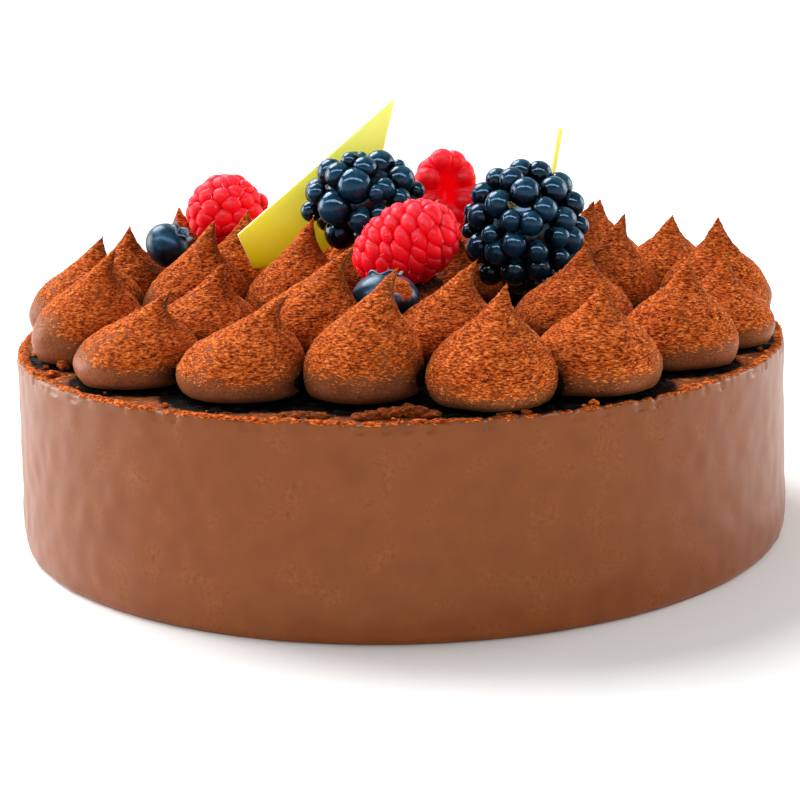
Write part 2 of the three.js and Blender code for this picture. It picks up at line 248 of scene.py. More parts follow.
# set chocolate mousse, satin brown with fine pores, under sifted cocoa powder, a matt orange-brown crust
def dustedMousse(name, look, own):
    sheen = linear(own["sheenColour"])
    made, tree, shader = newMaterial(name, **{
        "Specular IOR Level": own["gloss"], "Specular Tint": sheen, "Sheen Weight": own["sheen"],
        "Sheen Roughness": 0.42, "Sheen Tint": sheen})
    place = addNode(tree, "TexCoord", output="Object")
    dust, crust, painted_shade = (addNode(tree, "Attribute", output="Fac", attribute_name=layer)
                            for layer in ("dust", "crust", "painted_shade"))
    # the height of the powder
    wrinkled = addNode(tree, "Mapping", {"Vector": place, "Scale": (1, 1, look["flatten"])})
    grain = addNode(tree, "TexNoise", {"Vector": wrinkled, "Scale": 1 / look["grain"], "Detail": 2.0,
                                       "Roughness": 0.65})
    clump = addNode(tree, "TexNoise", {"Vector": wrinkled, "Scale": 1 / look["clump"], "Detail": 2.0})
    shares = look["shares"]
    height = addNode(tree, "Math", {0: clump, 1: shares["clump"]}, operation="MULTIPLY")
    height = addNode(tree, "Math", {0: grain, 1: shares["grain"], 2: height}, operation="MULTIPLY_ADD")
    height = addNode(tree, "Math", {0: crust, 1: shares["crust"], 2: height}, operation="MULTIPLY_ADD")
    powder = addNode(tree, "ValToRGB", {"Fac": height}, stops=look["cocoa"])
    # where it lies, with a ragged edge of grains
    strength, offset = look["ragged"]
    ragged = addNode(tree, "Math", {0: height, 1: strength, 2: offset}, operation="MULTIPLY_ADD")
    some = addNode(tree, "Math", {0: dust, 1: 8.0}, operation="MULTIPLY", use_clamp=True)
    cover = addNode(tree, "Math", {0: some, 1: ragged, 2: dust}, operation="MULTIPLY_ADD")
    covered = addNode(tree, "MapRange", {"Value": cover, "From Min": 0.40, "From Max": 0.60})
    # the bare mousse
    cloud = addNode(tree, "TexNoise", {"Vector": place, "Scale": 1 / look["cloudSize"], "Detail": 3.0})
    wall = addNode(tree, "ValToRGB", {"Fac": cloud}, stops=((0.25, own["bare"][0]), (0.75, own["bare"][1])))
    pores = addNode(tree, "TexNoise", {"Vector": place, "Scale": 1 / own["poreSize"], "Detail": 3.0,
                                       "Roughness": 0.65})
    patch = addNode(tree, "MapRange", {"Value": cloud, "From Min": own["patches"],
                                       "From Max": own["patches"] + 0.12})
    for (start, full), most, colour in ((look["poreRange"], own["dark"], look["pore"]),
                                        (look["speckRange"], own["bright"], look["speck"])):
        spot = addNode(tree, "MapRange", {"Value": pores, "From Min": start, "From Max": full,
                                          "To Max": most})
        spot = addNode(tree, "Math", {0: spot, 1: patch}, operation="MULTIPLY")
        wall = addNode(tree, "Mix", {0: spot, 6: wall, 7: linear(colour)}, **ofColours)
    colour = addNode(tree, "Mix", {0: covered, 6: wall, 7: powder}, **ofColours)
    # painted shade: mixed to near black by the attribute laid under and between the drops and under the
    # berries
    colour = addNode(tree, "Mix", {0: painted_shade, 6: colour, 7: linear(look["paintedShadeColour"])}, **ofColours)
    tree.links.new(colour, shader.inputs["Base Color"])
    rough = addNode(tree, "MapRange", {"Value": covered, "To Min": look["roughness"],
                                       "To Max": look["cocoaRoughness"]})
    tree.links.new(rough, shader.inputs["Roughness"])
    fine = addNode(tree, "Bump", {"Height": pores, "Strength": 0.3, "Distance": 0.12 * mm})
    rise = addNode(tree, "Math", {0: height, 1: covered}, operation="MULTIPLY")
    rugged = addNode(tree, "Bump", {"Height": rise, "Strength": 1.0, "Distance": look["relief"],
                                    "Normal": fine})
    tree.links.new(rugged, shader.inputs["Normal"])
    return made


dusty = dustedMousse("cocoa powder over piped chocolate mousse", mousseLook, mousseLook["dusty"])
# painted shade, as a material for the faces under and between the drops
paintedShadeMousse = dustedMousse("damp chocolate mousse in the shelter of the drops", mousseLook, mousseLook["paintedShadeMousse"])
satin = dustedMousse("satin chocolate mousse from a smooth ring", mousseLook, mousseLook["satin"])


piping = {
    # (share of the height, share of the half width)
    "outline": ((0.00, 0.79), (0.08, 0.94), (0.24, 1.00), (0.39, 0.91), (0.52, 0.735),
                (0.65, 0.455), (0.79, 0.215), (0.92, 0.08), (1.00, 0.00)),
    "steps": (5, 9, 8, 8, 7, 8, 7, 5), "sides": 144,
    "bend": 3.0,              # how late the middle line bends over towards the tip
    "unevenness": 0.018,      # of the half width
    "gap": 0.25 * mm,         # between drops pressed against each other
    "give": 1.2 * mm,         # how softly they flatten there
    "buried": ("drop_inner_02", "drop_inner_03", "drop_inner_04", "drop_inner_05"), "buriedHeight": 21 * mm,
    # the cocoa crust, lying in flat wrinkles and thinner in places, and the swell of the mousse under it
    "crust": 0.26 * mm, "crustSize": 1.5 * mm, "flatten": 1.6, "thinner": 0.35, "thinSize": 7 * mm,
    "swell": 0.22 * mm, "swellSize": 5 * mm,
    # how much of a drop's flank shows bare, usually and where the picture shows it
    "usuallyBare": (-0.12, 0.08),
    "bare": {"drop_outer_13": 0.16, "drop_outer_12": 0.12, "drop_outer_11": 0.12, "drop_outer_14": 0.0,
             "drop_outer_01": 0.08, "drop_outer_02": -0.24, "drop_outer_03": -0.08, "drop_outer_04": 0.0,
             "drop_outer_05": 0.10},
    "bareLeft": 0.8, "bareRight": 0.25,   # less powder on the flank that faces out, mostly at the cake's left
    # painted shade, near black, in shares of a drop's height: at the foot in the outer ring, at the foot in
    # the inner rings, which stand among others, and along the seam between two drops; lee: how much painted
    # shade lies on the right of the tip
    "foot": (0.0, 0.13), "innerFoot": (0.16, 0.42), "seam": (0.15, 0.52), "leeShade": 0.55, "leeFrom": (0.45, 0.8),
    "seamWidth": (-2.8 * mm, -0.1 * mm),
    # underFruit: how far below a berry the painted shade reaches
    "underFruit": (1 * mm, 6 * mm),   # how far below a berry it stays dark
    "fruitNear": 45 * mm,             # from a drop's foot, so that it may dent the drop
    # how far the painted shade on the drum's top reaches round a foot, more so in front
    "shade": 2.6 * mm,
    "deepShade": {"drop_outer_14": 9 * mm, "drop_outer_01": 11 * mm, "drop_outer_02": 11 * mm,
                  "drop_outer_03": 8 * mm},
}


grains = {
    "size": (0.09, 0.24),   # radii in millimetres; real grains are finer, and wouldn't show
    "perDrop": 330, "onDrum": 5600,   # tries
    "tones": ((0.0, "#3a1407"), (0.35, "#8a3a10"), (0.75, "#c9702a"), (1.0, "#f0b98a")),
}


def readDrop(name):
    # the middle of its foot, its half width and its tip, from the solid
    bm = bmesh.new()
    bm.from_mesh(nodes[name].data)
    bmesh.ops.remove_doubles(bm, verts=bm.verts, dist=1e-6)
    low = min(v.co.z for v in bm.verts)
    bottom = [v for v in bm.verts if v.co.z < low + 0.05 * mm]
    middle = max(bottom, key=lambda v: len(v.link_edges))
    foot = middle.co.copy()
    ring = [(v.co - foot).length for v in bottom if v is not middle]
    tip = max(bm.verts, key=lambda v: v.co.z).co - foot
    bm.free()
    if name in piping["buried"]:
        tip = Vector((0, 0, piping["buriedHeight"]))
    return {"foot": foot, "half": sum(ring) / len(ring) / piping["outline"][0][1], "tip": tip}


def pressAside(point, drop, others):
    # flattens softly against the neighbours, and returns how near the closest one is
    nearest = -1.0
    give = piping["give"]
    for away, room in others:
        past = point.dot(away) - room
        nearest = max(nearest, past)
        if past > give:
            point -= past * away
        elif past > -give:
            point -= (past + give) ** 2 / (4 * give) * away
    return nearest


def pipedDrop(name):
    drop = drops[name]
    foot, half, tip = drop["foot"], drop["half"], drop["tip"]
    others = []
    for key, other in drops.items():
        away = other["foot"] - foot
        both = half + other["half"]
        if key != name and away.length < both + 1 * mm:
            others.append((away.normalized(), away.length * half / both - piping["gap"] / 2))
    near = [egg for egg in eggs if (egg["fromBall"].translation - foot).length < piping["fruitNear"]]
    covered = piping["foot" if "outer" in name else "innerFoot"]
    line = throughPoints(piping["outline"], piping["steps"])
    outline = [(0, 0)] + [(max(0, p.y) * half, p.x * tip.z) for p in line[:-1]] + [(0, tip.z)]
    bm = spun(outline, piping["sides"])
    paintedShadeLayer = bm.verts.layers.float.new("painted_shade")
    turns = [(waves, draw.uniform(0, 2 * math.pi)) for waves in (2, 3, 5)]
    for v in bm.verts:
        p = v.co
        around = math.atan2(p.y, p.x)
        share = max(0.0, p.z / tip.z)
        uneven = sum(math.sin(waves * around + turn) for waves, turn in turns)
        swell = 1 + piping["unevenness"] * uneven * (1 - share)
        p.x = p.x * swell + tip.x * share ** piping["bend"]
        p.y = p.y * swell + tip.y * share ** piping["bend"]
        beside = pressAside(p, drop, others)
        p += foot
        underBerryShade = 0.0
        for egg in near:   # dented where a berry lies on it
            local = egg["toBall"] @ p
            if local.length < 1:
                p.xyz = egg["fromBall"] @ (local / max(local.length, 1e-6))
            below = p - egg["fromBall"].translation
            apart = (local.length - 1) * egg["size"]
            underBerryShade = max(underBerryShade, smooth(-below.z / below.length, 0.25, 0.7)
                         * (1 - smooth(apart, *piping["underFruit"])))
        # painted shade: the foot, the seam between two drops and the place under a berry are made near black
        under = 1 - smooth(share, *covered)
        seam = smooth(beside, *piping["seamWidth"]) * (1 - smooth(share, *piping["seam"]))
        v[paintedShadeLayer] = max(under, 0.92 * seam, 0.95 * underBerryShade)
    bare = piping["bare"].get(name, draw.uniform(*piping["usuallyBare"]))
    outwards = math.copysign(smooth(abs(foot.x), 15 * mm, 60 * mm), foot.x)
    outwards *= piping["bareLeft" if foot.x < 0 else "bareRight"]
    start, full = (foot.z + share * tip.z for share in piping["leeFrom"])

    def cover(v):
        # painted shade on the right of the tip, the side away from the light
        leeShade = smooth(v.normal.x, 0.2, 0.9) * smooth(v.co.z, start, full)
        v[paintedShadeLayer] = max(v[paintedShadeLayer], piping["leeShade"] * leeShade)
        facing = v.normal.z - 0.9 * bare - max(0, v.normal.x * outwards)
        return smooth(facing, -0.60, 0.60)

    powder(bm, cover, foot.z + 0.1 * mm)
    for _ in range(grains["perDrop"]):
        v = bm.verts[draw.randrange(len(bm.verts))]
        out = math.hypot(v.co.x - foot.x, v.co.y - foot.y)
        if v[bm.verts.layers.float["dust"]] > 0.5 and draw.random() < out / half:
            strewn.append(v.co.copy())
    for f in bm.faces:
        # faces deep in painted shade take the near-black shade material
        f.material_index = 1 if sum(v[paintedShadeLayer] for v in f.verts) > 0.75 * len(f.verts) else 0
    return finishPiece(bm, name.replace("drop", "piped"), [dusty, paintedShadeMousse], [name])


def powder(bm, cover, floorHeight):
    # raises the cocoa crust, and stores how much of it lies at each point
    bm.normal_update()
    dustLayer = bm.verts.layers.float.new("dust")
    crustLayer = bm.verts.layers.float.new("crust")
    moved = []
    for v in bm.verts:
        p = v.co
        thin = smooth(noise.noise(p / piping["thinSize"]), 0.1, 0.6)
        dust = cover(v) * (1 - piping["thinner"] * thin)
        flat = Vector((p.x, p.y, p.z * piping["flatten"])) / piping["crustSize"]
        crust = noise.fractal(flat, 0.9, 2.1, 2)
        rise = piping["swell"] * noise.noise(p / piping["swellSize"])
        v[dustLayer] = dust
        v[crustLayer] = crust
        moved.append(p + v.normal * (rise + dust * piping["crust"] * crust))
    for v, place in zip(bm.verts, moved):
        if v.co.z > floorHeight:
            v.co = place
    bm.verts.ensure_lookup_table()


drumShape = {
    # (radius, height) in millimetres, from the middle of the underside to the middle of the top
    "outline": ((0, 0), (88, 0), (89.9, 0.05), (90.4, 0.5), (90.85, 1.3), (91.0, 2.6), (90.8, 15),
                (90.3, 31.5), (90.05, 41), (90.0, 44.2), (89.85, 45.0), (89.4, 45.5), (88.5, 45.55),
                (87.2, 45.1), (84, 45), (58, 45), (0, 45)),
    "steps": (2, 2, 3, 3, 4, 10, 12, 8, 6, 5, 4, 4, 4, 5, 30, 48),
    "sides": 760,
    "top": 43.5 * mm,         # what is above this belongs to the top
    "lip": (85 * mm, 88 * mm), "lipWave": 0.55 * mm, "lipWaveSize": 13 * mm,   # it waves from here outwards
    "chip": 0.8 * mm, "chipSize": 2.2 * mm, "highestChip": 0.12,
    "sideWave": 0.16 * mm, "sideWaveSize": 22 * mm,
    "edge": 45.1 * mm, "edgeWave": 0.6 * mm, "edgeWaveSize": 2.4 * mm,   # how far down the powder reaches
    # outside this the rim gets no painted shade; in front the painted shade reaches further out
    "bright": 87.3 * mm, "brightInFront": 1.5 * mm, "front": (50 * mm, 78 * mm),
    "sparse": 58 * mm,        # inside this, among the drops, every second spoke of the mesh is left out
    "grainsFrom": 70 * mm,
}


def drum():
    line = throughPoints(drumShape["outline"], drumShape["steps"])
    bm = spun([(max(0, p.x) * mm, max(0, p.y) * mm) for p in line], drumShape["sides"])
    paintedShadeLayer = bm.verts.layers.float.new("painted_shade")
    spare = []
    for e in bm.edges:
        inner, outer = sorted(e.verts, key=lambda v: v.co.xy.length)
        spoke = round(math.atan2(outer.co.y, outer.co.x) / (2 * math.pi) * drumShape["sides"])
        across = outer.co.xy.length - inner.co.xy.length
        amongDrops = inner.co.z > drumShape["top"] and outer.co.xy.length < drumShape["sparse"] + 0.1 * mm
        if amongDrops and across > 0.1 * mm and spoke % 2:
            spare.append(e)
    for v in bm.verts:
        p = v.co
        out = math.hypot(p.x, p.y)
        if p.z > drumShape["top"]:
            # painted shade: under the overhang of the drops, and between them, the top is bare and made near
            # black
            near = 0.0
            for key, drop in drops.items():
                beyond = math.hypot(p.x - drop["foot"].x, p.y - drop["foot"].y) - drop["half"]
                near += max(0.0, 1 - beyond / piping["deepShade"].get(key, piping["shade"]))
            edge = drumShape["bright"] + drumShape["brightInFront"] * smooth(-p.y, *drumShape["front"])
            v[paintedShadeLayer] = smooth(near, 0.35, 0.75) * (1 - smooth(out, edge, edge + 0.8 * mm))
        if out < 60 * mm:
            continue
        ring = Vector((p.x, p.y, 0)) / out * 90 * mm
        side = Vector((p.x / out, p.y / out, 0))
        if p.z > 0.5 * mm:
            p += side * drumShape["sideWave"] * noise.noise(p / drumShape["sideWaveSize"])
        if p.z > drumShape["top"] and out > drumShape["lip"][0]:
            near = smooth(out, *drumShape["lip"])
            wave = drumShape["lipWave"] * noise.noise(ring / drumShape["lipWaveSize"])
            rough = noise.fractal(ring / drumShape["chipSize"], 0.8, 2.2, 2)
            chip = drumShape["chip"] * min(drumShape["highestChip"], rough)
            p.z += near * (wave + chip)
            p += side * chip * 0.6

    def cover(v):
        ring = Vector((v.co.x, v.co.y, 0))
        wave = noise.fractal(ring / drumShape["edgeWaveSize"], 0.8, 2.2, 3)
        edge = drumShape["edge"] + drumShape["edgeWave"] * wave
        return smooth(v.co.z, edge - 0.25 * mm, edge + 0.25 * mm)

    powder(bm, cover, 0.5 * mm)
    dustLayer = bm.verts.layers.float["dust"]
    for _ in range(grains["onDrum"]):
        v = bm.verts[draw.randrange(len(bm.verts))]
        if v[dustLayer] > 0.5 and v.co.xy.length > drumShape["grainsFrom"] and v[paintedShadeLayer] < 0.5:
            strewn.append(v.co.copy())
    bmesh.ops.dissolve_edges(bm, edges=spare, use_verts=True)
    for f in bm.faces:
        f.material_index = 1 if sum(v[dustLayer] for v in f.verts) > 0.6 else 0
        # faces deep in painted shade take the near-black shade material
        if sum(v[paintedShadeLayer] for v in f.verts) > 0.6 * len(f.verts):
            f.material_index = 2
    return finishPiece(bm, "mousse_drum", [satin, dusty, paintedShadeMousse], ["cake_body"])


berries = {
    # at, half sizes, width of a drupelet (across): in millimetres; tip: turned about X and Y, in degrees;
    # count: of drupelets, where they aren't placed one by one; stretch: how much wider than long a drupelet
    # is;
    # lit: towards the bright side; seen: in the picture (x, y, radius), and how far it stands out
    "raspberry_left": {
        "kind": "red", "at": (-43.8, 38, 69), "half": (10.2, 9.6, 10.0), "tip": (-8, 12),
        "count": 62, "stretch": 1.05, "seen": ((259, 203, 9, 1.3),),
    },
    "raspberry_front": {
        "kind": "red", "at": (1.8, -17, 68.2), "half": (9.5, 9.8, 13.0), "tip": (20, -118),
        "count": 88, "stretch": 1.45, "lit": (-0.45, 0, 1),
    },
    "raspberry_back": {
        "kind": "open", "at": (11.9, 24, 74.3), "half": (8.4, 10.7, 9.0), "tip": (70, 8),
        "count": 62, "stretch": 0.95,
    },
    "dark_berry_left": {
        "kind": "dark", "at": (-8.2, 6, 75.8), "half": (12.0, 12.0, 14.9), "tip": (0, 80),
        "across": 5.6, "stretch": 1.0,
        "seen": ((326, 168, 12.5), (350, 161, 8), (339, 176, 12.5), (364.5, 168.5, 11.5), (381, 160, 14),
                 (355, 186, 16.5), (335, 207.5, 15.5), (400, 178, 13), (317, 193, 9), (310.5, 211.5, 9.5),
                 (384, 188.5, 10), (400, 199, 9.5), (418, 190.5, 8.5), (338, 237, 15), (361, 220, 12),
                 (380, 215, 10), (363, 235, 9), (376.5, 193, 8), (398, 163, 6), (361.5, 156.5, 5)),
    },
    "dark_berry_right": {
        "kind": "dark", "at": (29.9, 0, 68.8), "half": (15.0, 16.5, 14.0), "tip": (70, -12),
        "across": 5.2, "stretch": 1.0,
        "seen": ((521, 167, 11.7), (539.5, 171.5, 12), (511.5, 177, 12), (496, 177, 11), (526, 188.5, 13.5),
                 (555, 188, 12.5), (480, 192, 12), (547.5, 209, 12), (572, 204, 12), (510.5, 221, 10),
                 (533, 223.5, 11.5), (477.5, 216, 12), (466, 209, 7), (566, 220, 12), (580, 226, 9.5),
                 (562, 238, 10), (488, 237, 9), (514, 248, 12), (539.5, 255, 10), (562, 259, 9),
                 (467, 231, 7)),
    },
}

fruitLook = {
    # colours: from the cracks between the drupelets outwards, darker in the cracks, partly the berry's own
    # colour and partly painted shade; veil: where the pale veil, a painted highlight on the side that faces
    # up, starts and is full, and how much it covers; swell, sink: how large the drupelets are for their
    # spacing, how deep they sit; core: what fills the berry, in shares of its size; between: sizes of those
    # that fill up what room is left; low, dim: the colour of the painted shade on the lower side, and the
    # shares of its height over which it ends; depth: of light, in millimetres
    "red": {
        "skin": "moist raspberry drupelet skin",
        "colours": ((0.10, "#7d0010"), (0.45, "#e00016"), (0.78, "#ff0a1e")), "pale": "#ff4c68",
        "low": "#42000f", "veil": (0.74, 0.90, 0.48), "roughness": 0.36, "gloss": 0.17, "subsurface": 0.35,
        "sheen": 0.05, "sheenColour": "#ff9aa6", "tint": "#ffffff", "swell": 0.79, "sink": 0.94, "core": 0.70,
        "uneven": 0.16, "dim": (0.04, 0.50), "depth": 1.2, "glow": 0.06,
    },
    "dark": {
        "skin": "glossy dark berry drupelet skin",
        "colours": ((0.10, "#02080d"), (0.45, "#031e30"), (0.78, "#06334c")), "pale": "#255e76",
        "low": "#010408", "veil": (0.82, 1.02, 0.65), "roughness": 0.12, "gloss": 0.6, "subsurface": 0.0,
        "sheen": 0.0, "sheenColour": "#ffffff", "tint": "#b4dcff", "swell": 0.65, "sink": 0.90, "core": 0.70,
        "between": (0.92, 1.05), "dim": (0.08, 0.50), "depth": 1.0, "glow": 0.0,
    },
    # a painted glow: emission, a little, in place of the light that passes through a red berry
    "paintedGlowColour": "#ff0014",  # a little, in place of the light that passes through a red berry
    "taper": 0.14,            # towards the tip
    "room": 0.5 * mm,         # left round a berry, in the drops it lies on
}
# thin-walled round its hollow, with a stronger painted glow, an emission in place of the light from behind
fruitLook["open"] = dict(fruitLook["red"], skin="thin raspberry flesh round a hollow", subsurface=0.75,
                         depth=3.0, dim=(-0.6, 0.1), glow=0.14,
                         colours=((0.10, "#d8000a"), (0.45, "#f20010"), (0.78, "#ff0a1e")))
# left by the core of the raspberry at the back, in millimetres from its middle: half of the opening across
# and up, and its lining, a cup, as (share of the opening, height) from under its bottom over its rim and down
# again; no drupelet starts past openFrom, or lies further out than widest, in shares of the berry
hollow = {
    "open": (2.3, 4.6), "openFrom": 0.84, "widest": 0.93, "sides": 48,
    "cup": ((0.0, -4.4), (1.3, -3.8), (1.75, 0.0), (1.65, 3.6), (1.4, 4.6), (1.25, 4.4), (1.1, 3.2),
            (0.85, 1.2), (0.45, -0.4), (0.0, -0.8)),
}


# a drupelet's thin skin over juice: bright and moist on red berries, near black and glossy on dark ones
def drupeletSkin(look):
    # its emission is a painted glow, in place of the light that passes through the berry
    made, tree, shader = newMaterial(look["skin"], **{
        "IOR": 1.4, "Subsurface Weight": look["subsurface"], "Subsurface Radius": (1.0, 0.2, 0.15),
        "Subsurface Scale": look["depth"] * mm, "Sheen Weight": look["sheen"], "Sheen Roughness": 0.22,
        "Sheen Tint": linear(look["sheenColour"]), "Specular Tint": linear(look["tint"]),
        "Specular IOR Level": look["gloss"], "Emission Color": linear(fruitLook["paintedGlowColour"]),
        "Emission Strength": look["glow"]})
    place = addNode(tree, "TexCoord", output="Object")
    outward, tone, low = (addNode(tree, "Attribute", output="Fac", attribute_name=layer)
                          for layer in ("outward", "tone", "low"))
    mottle = addNode(tree, "TexNoise", {"Vector": place, "Scale": 1 / (1.8 * mm), "Detail": 3.0})
    # darker towards the cracks between drupelets: partly the berry's own colour, partly painted shade
    body = addNode(tree, "ValToRGB", {"Fac": outward}, stops=look["colours"])
    # a pale veil on the upper side of each drupelet: partly its finest hairs and bloom, partly a painted
    # highlight, as it grows where the skin faces up
    up = addNode(tree, "SeparateXYZ", {"Vector": addNode(tree, "NewGeometry", output="Normal")}, output="Z")
    veil = addNode(tree, "Math", {0: up, 1: 0.45, 2: mottle}, operation="MULTIPLY_ADD")
    veil = addNode(tree, "Math", {0: tone, 1: 0.12, 2: veil}, operation="MULTIPLY_ADD")
    start, full, most = look["veil"]
    veil = addNode(tree, "MapRange", {"Value": veil, "From Min": start, "From Max": full, "To Max": most})
    body = addNode(tree, "Mix", {0: veil, 6: body, 7: linear(look["pale"])}, **ofColours)
    # painted shade on the lower side, away from the light
    body = addNode(tree, "Mix", {0: low, 6: body, 7: linear(look["low"])}, **ofColours)
    tree.links.new(body, shader.inputs["Base Color"])
    fine = addNode(tree, "TexNoise", {"Vector": place, "Scale": 1 / (0.5 * mm), "Detail": 2.0})
    rough = addNode(tree, "MapRange", {"Value": fine, "From Min": 0.3, "From Max": 0.7,
                                       "To Min": look["roughness"] * 0.8, "To Max": look["roughness"] * 1.3})
    tree.links.new(rough, shader.inputs["Roughness"])
    bump = addNode(tree, "Bump", {"Height": mottle, "Strength": 0.25, "Distance": 0.3 * mm})
    tree.links.new(bump, shader.inputs["Normal"])
    return made


def berryPlace(name):
    # from the berry's own upright space in millimetres, stretched for packing, to its place on the cake
    berry = berries[name]
    turnX, turnY = (math.radians(a) for a in berry["tip"])
    return (Matrix.Translation(Vector(berry["at"]) * mm) @ Matrix.Rotation(turnX, 4, "X")
            @ Matrix.Rotation(turnY, 4, "Y") @ Matrix.Diagonal((mm, mm, mm / berry["stretch"], 1)))


def goldenSpots(count):
    # evenly spread directions, in the spiral rows in which drupelets grow
    spots = []
    for i in range(count):
        up = 1 - (2 * i + 1) / count
        out = math.sqrt(1 - up * up)
        turn = math.pi * (3 - math.sqrt(5)) * i
        spots.append(Vector((out * math.cos(turn), out * math.sin(turn), up)))
    return spots


def drupeletCentres(name, half, look):
    # (middle, radius, way out) of each drupelet in the berry's own space
    berry = berries[name]
    isOpen = berry["kind"] == "open"
    found = []

    def add(ball, radius, beyond=0.0):
        inner = half - Vector((1, 1, 1)) * radius * look["sink"]
        narrow = 1 - fruitLook["taper"] * max(0.0, ball.z)
        middle = Vector((ball.x * inner.x * narrow, ball.y * inner.y * narrow, ball.z * inner.z))
        if isOpen and middle.z > 0:   # round the open end, clear of the hollow
            near = math.hypot(*[m / (radius * 0.8 + o) for m, o in zip(middle.xy, hollow["open"])])
            middle.xy /= min(1.0, near)
            middle.xy *= min(1.0, hollow["widest"] / math.hypot(middle.x / inner.x, middle.y / inner.y))
        out = Vector([m / h ** 2 for m, h in zip(middle, inner)]).normalized()
        found.append((middle + out * beyond, radius, out))

    toOwn = berryPlace(name).inverted()
    for x, y, pixels, *beyond in berry.get("seen", ()):
        # a little larger than it shows, as its neighbours cover its edge
        radius = pixels * 1.12 * (Vector(berry["at"]) - cameraPlace.translation / mm).length / photo["focal"]
        inner = half - Vector((1, 1, 1)) * radius * look["sink"]
        eye = Vector([e / h for e, h in zip(toOwn @ cameraPlace.translation, inner)])
        along = Vector([a / h for a, h in zip(toOwn.to_3x3() @ lineOfSight(x, y), inner)])
        middle = -eye.dot(along) / along.length_squared
        nearest = (eye + middle * along).length_squared
        reach = math.sqrt(max(0.0, 1 - nearest)) / along.length
        add((eye + (middle - reach) * along).normalized(), radius, *beyond)
    if "count" in berry:
        area = 4 * math.pi * (half.x * half.y * half.z) ** (2 / 3)
        radius = look["swell"] * math.sqrt(area / berry["count"])
        uneven = look["uneven"]
        for spot in goldenSpots(berry["count"]):
            if not isOpen or spot.z < hollow["openFrom"]:
                aside = Vector([draw.uniform(-1, 1) for _ in range(3)]) * uneven / math.sqrt(berry["count"])
                add((spot + 4 * aside).normalized(), radius * draw.uniform(1 - uneven, 1 + uneven))
        return found
    # the rest of a dark berry is filled where most room is left
    radius = look["swell"] * berry["across"]
    close = 1 / (2 * look["swell"])
    spots = goldenSpots(700)
    inner = half - Vector((1, 1, 1)) * radius * look["sink"]
    spread = [Vector([s * h for s, h in zip(spot, inner)]) for spot in spots]
    room = [min((point - m).length / (radius + r) for m, r, _ in found) for point in spread]
    while max(room) > close:
        best = room.index(max(room))
        add(spots[best], radius * draw.uniform(*look["between"]))
        for k, point in enumerate(spread):
            room[k] = min(room[k], (point - spread[best]).length / (2 * radius))
    return found


def drupelets(name, material):
    berry = berries[name]
    look = fruitLook[berry["kind"]]
    isOpen = berry["kind"] == "open"
    half = Vector(berry["half"])
    half.z *= berry["stretch"]
    placed = drupeletCentres(name, half, look)
    bm = bmesh.new()
    outwardLayer = bm.verts.layers.float.new("outward")
    toneLayer = bm.verts.layers.float.new("tone")
    lowShadeLayer = bm.verts.layers.float.new("low")
    if not isOpen:
        size = Matrix.Diagonal([h * look["core"] for h in half] + [1])
        bmesh.ops.create_icosphere(bm, subdivisions=3, radius=1, matrix=size)
    for middle, radius, out in placed:
        others = []
        for m, r, _ in placed:
            away = m - middle
            if 0 < away.length < radius + r:
                room = (away.length_squared + radius * radius - r * r) / (2 * away.length)
                others.append((away.normalized(), room))
        tone = draw.random()
        made = bmesh.ops.create_icosphere(bm, subdivisions=3, radius=radius,
                                          matrix=Matrix.Translation(middle))
        for v in made["verts"]:
            local = v.co - middle
            v[outwardLayer] = local.dot(out) / radius
            v[toneLayer] = tone
            for away, room in others:
                past = local.dot(away) - room
                if past > 0:
                    local -= away * past
            v.co = middle + local
    if isOpen:
        # painted light: what shows inside the opening gets the bright colour of its lining, in place of the
        # darker colour of the cracks
        for v in bm.verts:   # what shows inside the opening is as bright as its lining
            inside = math.hypot(*[c / o for c, o in zip(v.co.xy, hollow["open"])])
            if v.co.z > 0:
                v[outwardLayer] = max(v[outwardLayer], 0.9 * (1 - smooth(inside, 0.9, 1.4)))
        cup = spun(hollow["cup"], hollow["sides"])
        lining = bpy.data.meshes.new("lining")
        for v in cup.verts:
            v.co.x *= hollow["open"][0]
            v.co.y *= hollow["open"][1]
        cup.to_mesh(lining)
        cup.free()
        known = len(bm.verts)
        bm.from_mesh(lining)
        bpy.data.meshes.remove(lining)
        for v in list(bm.verts)[known:]:
            v[outwardLayer] = 0.9
            v[toneLayer] = 0.4
    bmesh.ops.transform(bm, matrix=berryPlace(name), verts=bm.verts)
    # painted shade: darker on the lower side, away from lit, as far as the shares in dim
    lit = Vector(berry.get("lit", (0, 0, 1)))
    low = min(v.co.dot(lit) for v in bm.verts)
    high = max(v.co.dot(lit) for v in bm.verts)
    for v in bm.verts:
        v[lowShadeLayer] = 0.9 * (1 - smooth((v.co.dot(lit) - low) / (high - low), *look["dim"]))
    return finishPiece(bm, name + "_drupelets", [material], [name])


hairs = {
    # in millimetres; real ones are finer, and wouldn't show
    "length": (0.8, 1.7), "thick": 0.07, "count": 70,
    "pale": ("#f7c3b4", 0.6), "brown": ("#8a5a33", 0.7),   # colour and roughness
    # dry remains of the flower on the dark berry, at (x, y) in the picture
    "remains": {"at": (512, 206), "count": 22, "spread": 1.2, "length": (0.7, 1.5), "depth": 0.90},
    "straw": ("#857437", 0.7),
}


# dull dry plant fibre
def dryThread(name, colour, roughness):
    return newMaterial(name, **{"Base Color": linear(colour), "Roughness": roughness})[0]


def addThread(bm, middle, way, length, thick, tip):
    turn = way.to_track_quat("Z", "Y").to_matrix().to_4x4()
    radius = hairs["thick"] * mm
    bmesh.ops.create_cone(bm, segments=5, radius1=radius * thick, radius2=radius * tip, depth=length,
                          cap_ends=True, matrix=Matrix.Translation(middle) @ turn)


